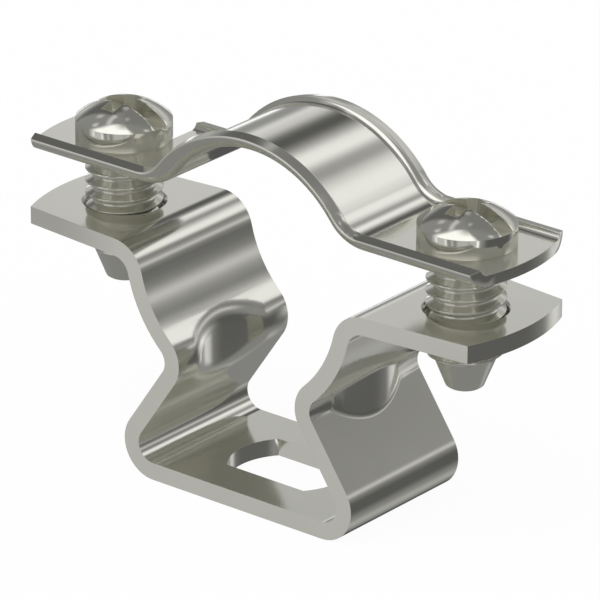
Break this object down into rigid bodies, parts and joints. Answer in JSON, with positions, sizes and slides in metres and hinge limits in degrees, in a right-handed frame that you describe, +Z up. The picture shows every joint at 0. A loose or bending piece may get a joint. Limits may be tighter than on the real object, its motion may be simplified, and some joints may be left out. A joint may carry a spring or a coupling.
{
  "type": "spacer conduit clamp",
  "caption": "Standing conduit clamp: a bent lower bracket and an arched strap with turned-up edges, drawn together round the conduit by screws.",
  "frame": {"origin": "middle of the underside of the base", "axes": "+X along the length from the left ear to the right ear, +Y along the conduit, +Z up from the base"},
  "size_m": [0.0444, 0.013, 0.0298],
  "materials": {
    "bracket_steel": "polished stainless sheet, cut edges matt",
    "strap_steel": "polished stainless sheet, cut edges matt",
    "screw_steel": "bright stainless, turned and rolled"
  },
  "bodies": {
    "bracket": {"lower_bracket": "bracket_steel"},
    "strap": {"upper_strap": "strap_steel"},
    "left_screw": {"left_screw": "screw_steel"},
    "right_screw": {"right_screw": "screw_steel"}
  },
  "joints": [
    {"name": "strap_travel", "type": "slide", "parent": "bracket", "child": "strap", "axis": [0, 0, 1], "range_m": [-0.004, 0.0025]},
    {"name": "right_screw_turn", "type": "hinge", "parent": "strap", "child": "right_screw", "pos_m": [0.0165, 0, 0.02], "axis": [0, 0, 1], "range_deg": [-1450, 910]},
    {"name": "left_screw_turn", "type": "hinge", "parent": "strap", "child": "left_screw", "pos_m": [-0.0165, 0, 0.02], "axis": [0, 0, 1], "range_deg": [-1450, 910]}
  ],
  "couplings": [
    {"joint": "right_screw_turn", "follows": "strap_travel", "rad_per_m": 6283.2},
    {"joint": "left_screw_turn", "follows": "strap_travel", "rad_per_m": 6283.2}
  ]
}
